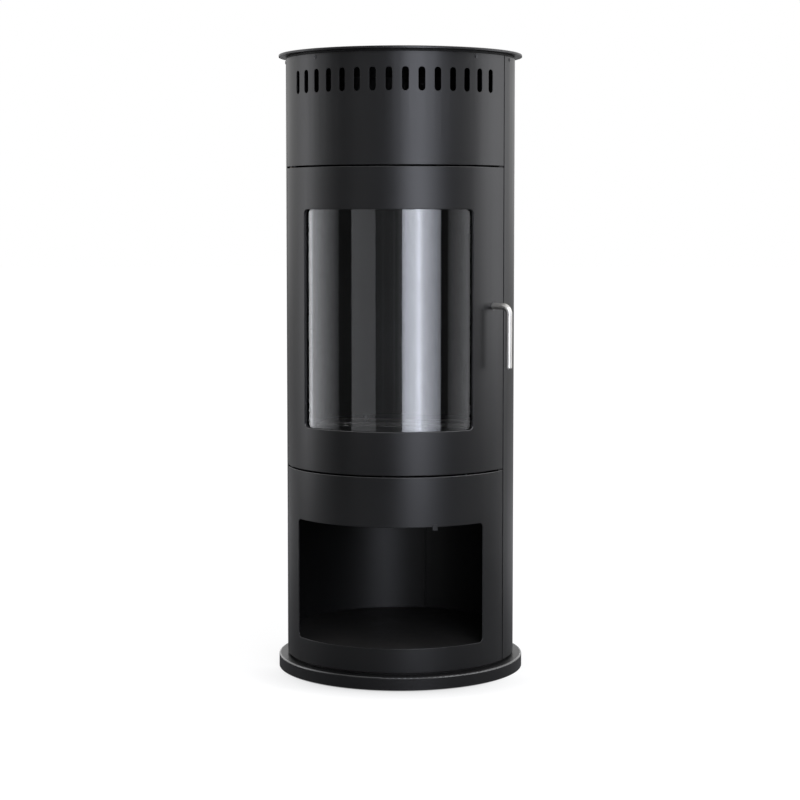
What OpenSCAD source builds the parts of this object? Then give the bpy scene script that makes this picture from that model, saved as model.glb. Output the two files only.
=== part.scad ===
// Free-standing round bioethanol stove with a curved glass door and an open compartment below it.
// Millimetres. The origin is on the floor at the middle of the base, +Z is up and the front faces -Y.
// Places round the body are angles from the middle of the front, positive to the right as seen there.

/* [Overall] */
// Height from the floor to the upper face of the top plate
total_h = 1124; // [1060:1:1240]
// Diameter of the base disc
base_d = 450; // [436:1:520]
// Diameter of the body
body_d = 418; // [400:1:424]
// Diameter of the top plate
top_d = 444; // [430:1:480]
// Thickness of the body's outer sheet
sheet_t = 2; // [1.5:0.1:3]
// Height of the seam between the compartment and the door
lower_seam_z = 376.2; // [350:0.1:390]
// Height of the seam between the door and the vent panel
upper_seam_z = 919.4; // [895:0.1:950]
// Height of the vent panel, from the door's seam to the top of the stove
vent_panel_h = 204.6; // [174:0.1:230]
// Width of the seams round the door and beside the front panels
seam_gap = 3; // [2:0.1:4]
// Half of the angle that the front panels and the door span
panel_half_angle = 70.5; // [67:0.5:76]
// Angle of the upright seam in the back of the body
back_seam_angle = 174.9; // [160:0.1:200]

/* [Base] */
// Height of the base disc above the floor
base_h = 24; // [20:1:40]
// Radius of the base disc's rounded upper edge
base_edge = 2.5; // [1:0.1:5]
// Gap between the base disc's skirt and the floor
foot_gap = 1; // [0.5:0.1:4]
// Height of the recessed plinth, seen as a dark line under the body
shadow_gap = 4; // [2:0.5:8]

/* [Compartment] */
// Half of the angle that the compartment's opening spans
opening_half_angle = 53.2; // [40:0.1:58]
// Height of the opening's lower edge
opening_z0 = 71.5; // [66:0.5:90]
// Height of the opening's upper edge
opening_z1 = 286.3; // [200:0.1:300]
// Radius of the opening's corners
opening_corner = 8.5; // [4:0.5:20]
// Height of the opening's lower edge above the compartment's floor
floor_lip = 5.5; // [2:0.1:12]

/* [Door] */
// Half of the angle that the window spans
window_half_angle = 46.5; // [38:0.1:48]
// Height of the window's lower edge
window_z0 = 454.4; // [430:0.1:520]
// Height of the window's upper edge
window_z1 = 843.2; // [760:0.1:850]
// Radius of the window's corners
window_corner = 9; // [4:0.5:20]
// Depth of the glass below the door's outer face
glass_recess = 5.3; // [4:0.1:9]
// Thickness of the glass
glass_t = 4; // [3:0.5:5]
// How far the glass reaches past the window's edge
glass_margin = 12; // [10:0.5:14]

/* [Handle] */
// Distance of the handle's shaft from the door's edge, round the body
handle_inset = 34.9; // [32:0.1:44]
// Height of the handle's shaft
handle_z = 671.8; // [620:0.1:760]
// Diameter of the handle's bar
bar_d = 11.5; // [10:0.5:12]
// Distance from the door's face to the grip's axis
handle_reach = 33.6; // [26:0.1:50]
// Radius of the bar's bend, on its centre line
bend_r = 13; // [10:0.5:16]
// Length from the shaft's axis down to the grip's end
grip_drop = 110; // [60:0.1:160]

/* [Vents] */
// Number of vent slots
slot_n = 15; // [5:1:17]
// Angle between neighbouring slots
slot_pitch_angle = 7.87; // [6:0.01:7.9]
// Angle of the middle of the row
slot_mid_angle = 3; // [-5:0.1:5]
// Width of a slot
slot_w = 11.8; // [6:0.1:16]
// Length of a slot
slot_l = 41.1; // [20:0.1:60]
// Distance from the slots' upper ends to the body's upper edge
slot_drop = 27; // [20:0.1:40]

/* [Top] */
// Thickness of the top plate
top_t = 4; // [3:0.5:8]
// Gap between the body and the top plate
top_gap = 4; // [3:0.5:8]
// Radius of the top plate's rounded edge
top_edge = 1.5; // [0.5:0.1:1.5]

/* [Burner] */
// Length of the burner tank
tank_l = 256; // [200:1:264]
// Width of the burner tank
tank_w = 96; // [80:1:120]
// Depth of the burner tank
tank_h = 58; // [40:1:62]
// How far the burner's top plate reaches past its tank
plate_margin = 20; // [12:1:24]
// Length of the fire opening
fire_l = 112; // [80:1:116]
// Width of the fire opening
fire_w = 56; // [40:1:64]

/* [Hidden] */
$fn = 144;
full_turn = 360;

// Overrun of every cutter
over = 1;
// Overlap of a round corner's cutter with the straight edges beside it
corner_lap = 0.06;
// Gap between fixed pieces with curved faces
fit = 0.3;
// Gap between a piece and what clamps or holds it
snug = 0.1;
// Radial clearance of a shaft in its bore
running = 0.05;
// Thickness of the inner plates and rings
inner_t = 2;

// Angle that a length spans on a radius
function spans(length, radius) = length / radius * 180 / PI;
// Value at a share of the way from a to b
function between(a, b, share) = a + (b - a) * share;

// Height at which the heights above are measured, so that they follow the total height
growth = total_h / (upper_seam_z + vent_panel_h);
lower_seam_at_z = lower_seam_z * growth;
upper_seam_at_z = upper_seam_z * growth;
opening_at_z1 = opening_z1 * growth;
window_at_z0 = window_z0 * growth;
window_at_z1 = window_z1 * growth;
handle_at_z = handle_z * growth;

body_r = body_d / 2;
in_r = body_r - sheet_t;
base_r = base_d / 2;
top_r = top_d / 2;
body_z0 = base_h + shadow_gap;
body_z1 = total_h - top_t - top_gap;
shell_edge_angle = panel_half_angle + spans(seam_gap, body_r);
lower_panel_z1 = lower_seam_at_z - seam_gap / 2;
door_z0 = lower_seam_at_z + seam_gap / 2;
door_z1 = upper_seam_at_z - seam_gap / 2;
upper_panel_z0 = upper_seam_at_z + seam_gap / 2;

// Feet
pad_r = 16;
pad_h = 6;
pad_chamfer = 1.5;
stud_r = 4;
stud_foot_r = 11;
stud_foot_t = 2;
stud_hole_r = 4.4;
stud_end = 3;
nut_across_r = 7.5;
nut_h = 6.5;
foot_angle = 45;
foot_margin = 10;
foot_gap_r = 0.2;
pan_t = 2;

// Plinth ring and floor tray
plinth_inset = 4;
disc_r = in_r - fit;
foot_circle = min(
    base_r - pan_t - pad_r - foot_margin,
    disc_r - inner_t - nut_across_r - foot_gap_r
);
rim_in_r = foot_circle - nut_across_r - 1.4 * inner_t;
tray_z = opening_z0 - floor_lip;
tray_foot_z = body_z0 + inner_t;

// Strips behind the seams
strip_t = 2;
strip_r1 = in_r - fit;
strip_r0 = strip_r1 - strip_t;
strip_cover = 13;
strip_in_angle = panel_half_angle - spans(strip_cover, body_r);
strip_out_angle = shell_edge_angle + spans(2 * strip_cover, body_r) - spans(strip_t, body_r);
strip_narrow_angle = shell_edge_angle + spans(strip_cover * 2 / 3, body_r);
notch_fit_r = strip_r0 - fit;
notch_fit_deg = spans(fit, strip_r0);
plate_rim_r = notch_fit_r - inner_t;

// Back strip and its rivets
back_gap = 1;
back_strip_w = 26;
back_strip_t = 1.5;
back_strip_end = 14;
rivet_r = 2;
rivet_head_r = 3.5;
rivet_head_t = 1.2;
rivet_offset = 7;
rivet_margin = 30;
rivet_rows = 7;

// Flanges of the front panels
flange_w = 18;
flange_half_angle = 60;
flange_screw_r = 2.5;
flange_screw_head_r = 4.5;
flange_screw_head_h = 3;
flange_screw_circle = in_r - flange_w * 0.64;
flange_screw_angles = [-45, 0, 45];

// Firebox floor, deck and heat shield
floor_z = lower_panel_z1 - sheet_t;
rim_h = 18;
ceiling_z = upper_panel_z0 + sheet_t;
flue_r = 110;
deck_z = window_at_z0 - floor_lip;
deck_inset = 28;
deck_r = in_r - deck_inset;
deck_t = 2;
deck_rim_h = 10;
deck_clearance = 3;
leg_r = 6;
leg_circle_share = 0.84;
leg_circle = deck_r * leg_circle_share;
shield_t = 1.5;
shield_edge_angle = 78;
shield_top_gap = 20;

// Top ring and the small screws in the upper edge
ring_h = 18;
ring_z0 = body_z1 - ring_h;
ring_z1 = total_h - top_t;
ring_flange_w = 17;
ring_in_r = min(strip_r1, top_r) - ring_flange_w;
case_screw_drop = 6;
case_screw_z = body_z1 - case_screw_drop;
case_screw_r = 1.6;
case_screw_head_r = 3;
case_screw_head_t = 1;
case_screw_socket_r = 1.5;
case_screw_socket_t = 0.7;
panel_screw_angles = [-37.3, 48];
shell_screw_offset = 6.4;
shell_screw_angle = shell_edge_angle + shell_screw_offset;

// Small clip over the opening's upper edge
clip_angle = 25.4;
clip_w = 9;
clip_up = 5;
clip_down = 5.7;
clip_t = 0.8;

// Hinge
pin_r = 4;
bush_r = 7;
bush_h = 14;
hinge_inset = 14;
hinge_wall = 2;
hinge_r = in_r - bush_r - hinge_wall;
hinge_angle = -(panel_half_angle - spans(hinge_inset, body_r));
washer_t = 1.5;
washer_r = 7.4;
pin_end_gap = 0.5;
door_flange_left_angle = panel_half_angle - spans(snug * 30, body_r);
door_flange_right_angle = strip_in_angle - spans(strip_cover, body_r);

// Glass, gasket and clips
glass_r = body_r - glass_recess;
glass_in_r = glass_r - glass_t;
glass_half_angle = window_half_angle + spans(glass_margin, glass_r);
gasket_margin = glass_margin - 1.5 * over;
gasket_half_angle = window_half_angle + spans(gasket_margin, glass_r);
clip_plate_t = 1.5;
clip_plate_h = 16;
clip_plate_w = 27;
clip_plate_r = glass_in_r - snug;
clip_stud_r = 2.5;
clip_collar_r = 4.5;
clip_stud_angle = glass_half_angle + spans(clip_collar_r, glass_r) + spans(over, glass_r);
clip_nut_r = 4.6;
clip_nut_h = 4;
clip_nut_x1 = clip_plate_r - clip_plate_t - clip_nut_r * clip_nut_r / clip_plate_r;
clip_stud_end = 1;
clip_shares = [0.09, 0.5, 0.91];

// Handle, its bush and the latch
bar_r = bar_d / 2;
handle_angle = panel_half_angle - spans(handle_inset, body_r);
grip_r = body_r + handle_reach;
bar_chamfer = 0.8;
handle_bush_wall = 1.5;
handle_bush_flange_w = 3;
handle_bush_depth = 7;
handle_bush_r = bar_r + handle_bush_wall;
handle_bush_flange_r = handle_bush_r + handle_bush_flange_w;
handle_bush_flange_t = 2;
handle_bush_flange_x1 = in_r - handle_bush_flange_r * handle_bush_flange_r / (2 * in_r) - snug;
handle_bush_x0 = in_r - handle_bush_depth;
handle_bush_x1 = body_r - handle_bush_r * handle_bush_r / body_r - snug;
tongue_t = 3;
tongue_w = 16;
tongue_l = 34;
tongue_x1 = handle_bush_x0 - fit;
tongue_x0 = tongue_x1 - tongue_t;
shaft_end_r = 4;
shaft_nut_h = 6.5;
shaft_end = 2;

// Spring catch
leaf_t = 0.8;
leaf_h = 14;
leaf_r1 = strip_r0 - snug;
leaf_r0 = leaf_r1 - leaf_t;
leaf_overlap = 8;
tip_angle = handle_angle + atan(tongue_l / tongue_x1);
leaf_free_angle = tip_angle - spans(leaf_overlap, leaf_r0);
notch_h = 28;
notch_end_angle = tip_angle + spans(leaf_overlap * 3 / 4, strip_r0);
catch_screw_r = 1.5;
catch_screw_head_r = 2.6;
catch_screw_head_t = 1.4;
catch_screw_spread = 7;
catch_screw_angle = between(notch_end_angle, strip_out_angle, 0.5);

// Burner
tank_t = 1.5;
plate_t = 2;
tank_z1 = deck_z;
tank_z0 = tank_z1 - tank_h;
plate_z1 = deck_z + plate_t;
plate_l = tank_l + 2 * plate_margin;
plate_w = tank_w + plate_margin;
wool_gap = 16;
fire_inset = 8;
fire_x0 = -tank_l / 2 + fire_inset;
lid_margin = 7;
lid_t = 2;
lid_l = fire_l + 2 * lid_margin;
lid_w = fire_w + 2 * lid_margin;
lid_x0 = fire_x0 - lid_margin;
lid_z0 = plate_z1 + snug;
guide_t = 1.2;
guide_lap = 4;
guide_foot = 6;
guide_top_z = lid_z0 + lid_t + snug;
guide_end = 4;
knob_stem_r = 3;
knob_stem_h = 7;
knob_r = 7;
knob_h = 5;
knob_edge = 1;
fin_chamfer_share = 0.2;

// Turns what is drawn along +X to an angle round the body
module at_angle(angle) {
    rotate([0, 0, angle - 90])
        children();
}

// Curved sheet between two radii, two heights and two angles
module arc_wall(r0, r1, z0, z1, a0, a1) {
    at_angle(a0)
        translate([0, 0, z0])
            rotate_extrude(angle = a1 - a0)
                translate([r0, 0])
                    square([r1 - r0, z1 - z0]);
}

// Flat ring between two radii and two heights
module flat_ring(r0, r1, z0, z1) {
    translate([0, 0, z0])
        difference() {
            cylinder(h = z1 - z0, r = r1);
            translate([0, 0, -over])
                cylinder(h = z1 - z0 + 2 * over, r = r0);
        }
}

// Round bar that points straight out of the body
module radial_bar(angle, z, x0, x1, r) {
    at_angle(angle)
        translate([x0, 0, z])
            rotate([0, 90, 0])
                cylinder(h = x1 - x0, r = r);
}

// Cuts an opening with round corners in a curved sheet, from one radius to another
module with_opening(half, z0, z1, corner, r0, r1) {
    corner_span = spans(corner, r1);
    difference() {
        difference() {
            difference() {
                children();
                arc_wall(r0, r1, z0 + corner, z1 - corner, -half, half);
            }
            arc_wall(r0, r1, z0, z1, -half + corner_span, half - corner_span);
        }
        for (side = [-1, 1], z = [z0 + corner, z1 - corner])
            radial_bar(side * (half - corner_span), z, r0, r1, corner + corner_lap);
    }
}

// Places what is drawn on each foot
module on_feet() {
    for (k = [0 : 3])
        at_angle(foot_angle + 90 * k)
            translate([foot_circle, 0, 0])
                children();
}

// Cutter for the feet's studs, through everything
module foot_holes() {
    on_feet()
        cylinder(h = total_h, r = stud_hole_r);
}

// Hexagonal nut with a plain bore, standing on z = 0
module hex_nut(across_r, h, bore_r) {
    difference() {
        cylinder(h = h, r = across_r, $fn = 6);
        translate([0, 0, -over])
            cylinder(h = h + 2 * over, r = bore_r);
    }
}

module foot_pads() {
    color("#232323")
        on_feet() {
            cylinder(h = pad_h - pad_chamfer, r = pad_r);
            translate([0, 0, pad_h - pad_chamfer])
                cylinder(h = pad_chamfer, r1 = pad_r, r2 = pad_r - pad_chamfer);
        }
}

module foot_studs() {
    color("#b9bcbe")
        on_feet() {
            translate([0, 0, pad_h])
                cylinder(h = stud_foot_t, r = stud_foot_r);
            translate([0, 0, pad_h])
                cylinder(h = tray_foot_z + nut_h + stud_end - pad_h, r = stud_r);
        }
}

module foot_nuts() {
    color("#b0b2b4")
        on_feet() {
            translate([0, 0, base_h - pan_t - nut_h])
                hex_nut(nut_across_r, nut_h, stud_r + running);
            translate([0, 0, tray_foot_z])
                hex_nut(nut_across_r, nut_h, stud_r + running);
        }
}

module base_pan() {
    color("#2e2e2f")
        difference() {
            rotate_extrude()
                difference() {
                    union() {
                        translate([0, foot_gap])
                            square([base_r, base_h - foot_gap - base_edge]);
                        translate([0, foot_gap])
                            square([base_r - base_edge, base_h - foot_gap]);
                        translate([base_r - base_edge, base_h - base_edge])
                            circle(r = base_edge);
                    }
                    square([base_r - pan_t, base_h - pan_t]);
                }
            foot_holes();
        }
}

module plinth_ring() {
    color("#141414")
        difference() {
            flat_ring(rim_in_r, disc_r - plinth_inset, base_h, body_z0);
            foot_holes();
        }
}

module floor_tray() {
    color("#1b1b1b")
        difference() {
            translate([0, 0, body_z0])
                rotate_extrude() {
                    translate([0, tray_z - inner_t - body_z0])
                        square([disc_r, inner_t]);
                    translate([disc_r - inner_t, 0])
                        square([inner_t, tray_z - body_z0]);
                    translate([rim_in_r, 0])
                        square([disc_r - rim_in_r, inner_t]);
                }
            translate([0, 0, body_z0 - over])
                on_feet()
                    cylinder(h = inner_t + 2 * over, r = stud_hole_r);
        }
}

// Holes for the rivets of the back strip
module rivet_bars(x0, x1, r) {
    z_low = body_z0 + rivet_margin;
    z_high = body_z1 - rivet_margin;
    for (k = [0 : rivet_rows - 1], side = [-1, 1])
        radial_bar(
            back_seam_angle + side * spans(rivet_offset, body_r),
            between(z_low, z_high, k / (rivet_rows - 1)),
            x0, x1, r
        );
}

// Sheet of the body's back, with its screw hole in the upper edge
module back_shell(a0, a1, screw_angle) {
    difference() {
        arc_wall(in_r, body_r, body_z0, body_z1, a0, a1);
        rivet_bars(in_r - over, body_r + over, rivet_r);
        radial_bar(screw_angle, case_screw_z, in_r - over, body_r + over, case_screw_r);
    }
}

module left_shell() {
    color("#2c2c2d")
        back_shell(
            back_seam_angle + spans(back_gap / 2, body_r), full_turn - shell_edge_angle,
            -shell_screw_angle
        );
}

module right_shell() {
    color("#2c2c2d")
        back_shell(shell_edge_angle, back_seam_angle - spans(back_gap / 2, body_r), shell_screw_angle);
}

module back_strip() {
    strip_half = spans(back_strip_w / 2, body_r);
    color("#2a2a2b")
        difference() {
            arc_wall(
                body_r, body_r + back_strip_t,
                body_z0 + back_strip_end, body_z1 - back_strip_end,
                back_seam_angle - strip_half, back_seam_angle + strip_half
            );
            rivet_bars(body_r - over, body_r + back_strip_t + over, rivet_r);
        }
}

module strip_rivets() {
    color("#262627") {
        rivet_bars(in_r, body_r + back_strip_t + rivet_head_t, rivet_r);
        rivet_bars(body_r + back_strip_t, body_r + back_strip_t + rivet_head_t, rivet_head_r);
    }
}

module left_seam_strip() {
    color("#1a1a1a") {
        arc_wall(strip_r0, strip_r1, tray_z + fit, ring_z0 - fit, -strip_out_angle, -strip_narrow_angle);
        arc_wall(
            strip_r0, strip_r1, tray_z + fit, floor_z - inner_t - fit,
            -strip_out_angle, -strip_in_angle
        );
        arc_wall(
            strip_r0, strip_r1, ceiling_z + inner_t + fit, ring_z0 - fit,
            -strip_out_angle, -strip_in_angle
        );
    }
}

module right_stop_strip() {
    color("#1a1a1a")
        difference() {
            arc_wall(strip_r0, strip_r1, tray_z + fit, ring_z0 - fit, strip_in_angle, strip_out_angle);
            arc_wall(
                strip_r0 - over, strip_r1 + over,
                handle_at_z - notch_h / 2, handle_at_z + notch_h / 2,
                strip_in_angle - spans(over, strip_r0), notch_end_angle
            );
            catch_screw_bars(strip_r0 - over, strip_r1 + over, catch_screw_r);
        }
}

// Vertical bars where screws hold a front panel's flange to the plate beside it
module flange_screw_bars(z0, z1, r) {
    for (angle = flange_screw_angles)
        at_angle(angle)
            translate([flange_screw_circle, 0, z0])
                cylinder(h = z1 - z0, r = r);
}

// Flange that is turned in from a front panel's edge
module panel_flange(z0, a0, a1) {
    arc_wall(in_r - flange_w, body_r - sheet_t / 2, z0, z0 + sheet_t, a0, a1);
}

module lower_front_panel() {
    color("#2d2d2e")
        difference() {
            union() {
                with_opening(
                    opening_half_angle, opening_z0, opening_at_z1, opening_corner, in_r - over, body_r + over
                )
                    arc_wall(in_r, body_r, body_z0, lower_panel_z1, -panel_half_angle, panel_half_angle);
                panel_flange(lower_panel_z1 - sheet_t, -flange_half_angle, flange_half_angle);
            }
            flange_screw_bars(floor_z - over, lower_panel_z1 + over, flange_screw_r + running);
        }
}

module tool_clip() {
    half = spans(clip_w / 2, body_r);
    color("#3a3a3b")
        difference() {
            arc_wall(
                in_r - snug - clip_t, body_r + snug + clip_t,
                opening_at_z1 - clip_down, opening_at_z1 + clip_up,
                clip_angle - half, clip_angle + half
            );
            arc_wall(
                in_r - snug, body_r + snug,
                opening_at_z1 - snug, opening_at_z1 + clip_up + over,
                clip_angle - 2 * half, clip_angle + 2 * half
            );
        }
}

// Cutter that lets the strips behind the seams pass a plate
module strip_notches(z0, z1) {
    for (side = [-1, 1])
        arc_wall(
            notch_fit_r, in_r + over, z0 - over, z1 + over,
            side * (side > 0 ? strip_in_angle - notch_fit_deg : strip_out_angle + notch_fit_deg),
            side * (side > 0 ? strip_out_angle + notch_fit_deg : strip_in_angle - notch_fit_deg)
        );
}

module firebox_floor() {
    color("#1c1c1c")
        difference() {
            union() {
                translate([0, 0, floor_z - inner_t])
                    cylinder(h = inner_t, r = disc_r);
                flat_ring(plate_rim_r - inner_t, plate_rim_r, floor_z - rim_h, floor_z - inner_t / 2);
            }
            strip_notches(floor_z - inner_t, floor_z);
            flange_screw_bars(floor_z - inner_t - over, floor_z + over, flange_screw_r + running);
        }
}

module deck_legs() {
    color("#222222")
        for (k = [0 : 3])
            at_angle(foot_angle + 90 * k)
                translate([leg_circle, 0, floor_z])
                    cylinder(h = deck_z - deck_t - floor_z, r = leg_r);
}

module burner_deck() {
    cut_l = tank_l + 2 * deck_clearance;
    cut_w = tank_w + 2 * deck_clearance;
    color("#1f1f1f")
        difference() {
            union() {
                translate([0, 0, deck_z - deck_t])
                    cylinder(h = deck_t, r = deck_r);
                flat_ring(deck_r - deck_t, deck_r, deck_z - deck_rim_h, deck_z - deck_t / 2);
            }
            translate([-cut_l / 2, -cut_w / 2, deck_z - deck_t - over])
                cube([cut_l, cut_w, deck_t + 2 * over]);
        }
}

module heat_shield() {
    color("#242424")
        arc_wall(
            deck_r - shield_t, deck_r, deck_z, ceiling_z - shield_top_gap,
            shield_edge_angle, full_turn - shield_edge_angle
        );
}

module firebox_ceiling() {
    color("#1c1c1c")
        difference() {
            union() {
                translate([0, 0, ceiling_z])
                    cylinder(h = inner_t, r = disc_r);
                flat_ring(
                    plate_rim_r - inner_t, plate_rim_r, ceiling_z + inner_t / 2, ceiling_z + rim_h
                );
            }
            strip_notches(ceiling_z, ceiling_z + inner_t);
            translate([0, 0, ceiling_z - over])
                cylinder(h = inner_t + 2 * over, r = flue_r);
            flange_screw_bars(ceiling_z - over, ceiling_z + inner_t + over, flange_screw_r + running);
        }
}

// Cutter for the row of upright slots with round ends
module slot_row() {
    z1 = body_z1 - slot_drop;
    z0 = z1 - slot_l;
    for (k = [0 : slot_n - 1]) {
        angle = slot_mid_angle + (k - (slot_n - 1) / 2) * slot_pitch_angle;
        at_angle(angle)
            translate([in_r - slot_w / 2, -slot_w / 2, z0 + slot_w / 2])
                cube([sheet_t + slot_w, slot_w, slot_l - slot_w]);
        for (z = [z0 + slot_w / 2, z1 - slot_w / 2])
            radial_bar(angle, z, in_r - slot_w / 2, body_r + slot_w / 2, slot_w / 2);
    }
}

module upper_front_panel() {
    color("#2d2d2e")
        difference() {
            union() {
                arc_wall(in_r, body_r, upper_panel_z0, body_z1, -panel_half_angle, panel_half_angle);
                panel_flange(upper_panel_z0, -flange_half_angle, flange_half_angle);
            }
            slot_row();
            flange_screw_bars(upper_panel_z0 - over, ceiling_z + over, flange_screw_r + running);
            for (angle = panel_screw_angles)
                radial_bar(angle, case_screw_z, in_r - over, body_r + over, case_screw_r);
        }
}

// Angles of all the small screws in the body's upper edge
case_screw_angles = concat(panel_screw_angles, [-shell_screw_angle, shell_screw_angle]);

module top_ring() {
    color("#161616")
        difference() {
            rotate_extrude() {
                translate([strip_r0, ring_z0])
                    square([strip_t, ring_z1 - ring_z0]);
                translate([ring_in_r, ring_z1 - inner_t])
                    square([strip_r1 - ring_in_r, inner_t]);
            }
            for (angle = case_screw_angles)
                radial_bar(angle, case_screw_z, strip_r0 - over, strip_r1 + over, case_screw_r);
        }
}

module top_plate() {
    color("#2e2e2f")
        translate([0, 0, total_h - top_t])
            rotate_extrude() {
                square([top_r, top_t - top_edge]);
                square([top_r - top_edge, top_t]);
                translate([top_r - top_edge, top_t - top_edge])
                    circle(r = top_edge);
            }
}

module case_screws() {
    color("#151515")
        for (angle = case_screw_angles)
            difference() {
                union() {
                    radial_bar(angle, case_screw_z, strip_r0, body_r + snug, case_screw_r);
                    radial_bar(
                        angle, case_screw_z, body_r, body_r + case_screw_head_t, case_screw_head_r
                    );
                }
                at_angle(angle)
                    translate([body_r + case_screw_head_t - case_screw_socket_t, 0, case_screw_z])
                        rotate([0, 90, 0])
                            cylinder(h = case_screw_socket_t + over, r = case_screw_socket_r, $fn = 6);
            }
}

module flange_screws() {
    floor_low = floor_z - inner_t;
    ceiling_high = ceiling_z + inner_t;
    color("#8d9092") {
        flange_screw_bars(floor_low, lower_panel_z1, flange_screw_r);
        flange_screw_bars(floor_low - flange_screw_head_h, floor_low, flange_screw_head_r);
        flange_screw_bars(upper_panel_z0, ceiling_high, flange_screw_r);
        flange_screw_bars(ceiling_high, ceiling_high + flange_screw_head_h, flange_screw_head_r);
    }
}

// Places what is drawn on the door's hinge axis
module on_hinge(z) {
    at_angle(hinge_angle)
        translate([hinge_r, 0, z])
            children();
}

module hinge_pins() {
    collar_h = door_z0 - washer_t - floor_z;
    pin_l = bush_h - pin_end_gap;
    color("#9c9fa1") {
        on_hinge(floor_z) {
            cylinder(h = collar_h, r = washer_r);
            cylinder(h = collar_h + washer_t + pin_l, r = pin_r);
        }
        on_hinge(ceiling_z - collar_h)
            cylinder(h = collar_h, r = washer_r);
        on_hinge(ceiling_z - collar_h - washer_t - pin_l)
            cylinder(h = collar_h + washer_t + pin_l, r = pin_r);
    }
}

module thrust_washers() {
    color("#b08d4a")
        for (z = [door_z0 - washer_t, door_z1])
            on_hinge(z)
                difference() {
                    cylinder(h = washer_t, r = washer_r);
                    translate([0, 0, -over])
                        cylinder(h = washer_t + 2 * over, r = pin_r + snug);
                }
}

// Bars where two small screws hold the spring catch to its strip
module catch_screw_bars(x0, x1, r) {
    for (side = [-1, 1])
        radial_bar(catch_screw_angle, handle_at_z + side * catch_screw_spread / 2, x0, x1, r);
}

module catch_spring() {
    color("#a9acae")
        difference() {
            arc_wall(
                leaf_r0, leaf_r1, handle_at_z - leaf_h / 2, handle_at_z + leaf_h / 2,
                leaf_free_angle, strip_out_angle
            );
            catch_screw_bars(leaf_r0 - over, leaf_r1 + over, catch_screw_r);
        }
}

module catch_screws() {
    color("#8d9092") {
        catch_screw_bars(leaf_r0 - snug, strip_r1, catch_screw_r - snug);
        catch_screw_bars(leaf_r0 - catch_screw_head_t, leaf_r0 - snug / 2, catch_screw_head_r);
    }
}

module door_panel() {
    color("#2d2d2e")
        difference() {
            union() {
                with_opening(
                    window_half_angle, window_at_z0, window_at_z1, window_corner, in_r - over, body_r + over
                )
                    arc_wall(in_r, body_r, door_z0, door_z1, -panel_half_angle, panel_half_angle);
                panel_flange(door_z0, -door_flange_left_angle, door_flange_right_angle);
                panel_flange(door_z1 - sheet_t, -door_flange_left_angle, door_flange_right_angle);
            }
            radial_bar(handle_angle, handle_at_z, in_r - over, body_r + over, handle_bush_r + running);
            on_hinge(door_z0 - over)
                cylinder(h = door_z1 - door_z0 + 2 * over, r = bush_r + running);
        }
}

module window_glass() {
    color("#3a4046", 0.4)
        arc_wall(
            glass_in_r, glass_r, window_at_z0 - glass_margin, window_at_z1 + glass_margin,
            -glass_half_angle, glass_half_angle
        );
}

module glass_gasket() {
    color("#101010")
        with_opening(
            window_half_angle, window_at_z0, window_at_z1, window_corner, glass_r - over, in_r + over
        )
            arc_wall(
                glass_r + snug, in_r - snug,
                window_at_z0 - gasket_margin, window_at_z1 + gasket_margin,
                -gasket_half_angle, gasket_half_angle
            );
}

// Bars at the six places where a clip holds the glass
module clip_bars(x0, x1, r) {
    for (side = [-1, 1], share = clip_shares)
        radial_bar(side * clip_stud_angle, between(window_at_z0, window_at_z1, share), x0, x1, r);
}

module glass_clips() {
    outer = clip_stud_angle + spans(clip_collar_r, clip_plate_r);
    inner = outer - spans(clip_plate_w, clip_plate_r);
    color("#a9acae")
        difference() {
            for (share = clip_shares) {
                z = between(window_at_z0, window_at_z1, share);
                low = z - clip_plate_h / 2;
                high = z + clip_plate_h / 2;
                arc_wall(clip_plate_r - clip_plate_t, clip_plate_r, low, high, inner, outer);
                arc_wall(clip_plate_r - clip_plate_t, clip_plate_r, low, high, -outer, -inner);
            }
            clip_bars(clip_plate_r - clip_plate_t - over, clip_plate_r + over, clip_stud_r + running);
        }
}

module clip_studs() {
    sag = clip_collar_r * clip_collar_r / (2 * clip_plate_r);
    color("#8d9092") {
        clip_bars(clip_plate_r + sag, in_r - sag, clip_collar_r);
        clip_bars(clip_nut_x1 - clip_nut_h - clip_stud_end, in_r - sag, clip_stud_r);
    }
}

module clip_nuts() {
    color("#8d9092")
        for (side = [-1, 1], share = clip_shares)
            at_angle(side * clip_stud_angle)
                translate([clip_nut_x1 - clip_nut_h, 0, between(window_at_z0, window_at_z1, share)])
                    rotate([0, 90, 0])
                        hex_nut(clip_nut_r, clip_nut_h, clip_stud_r + running);
}

module hinge_bushes() {
    color("#b08d4a")
        for (z = [door_z0, door_z1 - bush_h])
            on_hinge(z)
                difference() {
                    cylinder(h = bush_h, r = bush_r);
                    translate([0, 0, -over])
                        cylinder(h = bush_h + 2 * over, r = pin_r + running);
                }
}

module handle_bush() {
    color("#1a1a1a")
        difference() {
            union() {
                radial_bar(handle_angle, handle_at_z, handle_bush_x0, handle_bush_x1, handle_bush_r);
                radial_bar(
                    handle_angle, handle_at_z, handle_bush_flange_x1 - handle_bush_flange_t,
                    handle_bush_flange_x1, handle_bush_flange_r
                );
            }
            radial_bar(handle_angle, handle_at_z, handle_bush_x0 - over, body_r + over, bar_r + running);
        }
}

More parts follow.
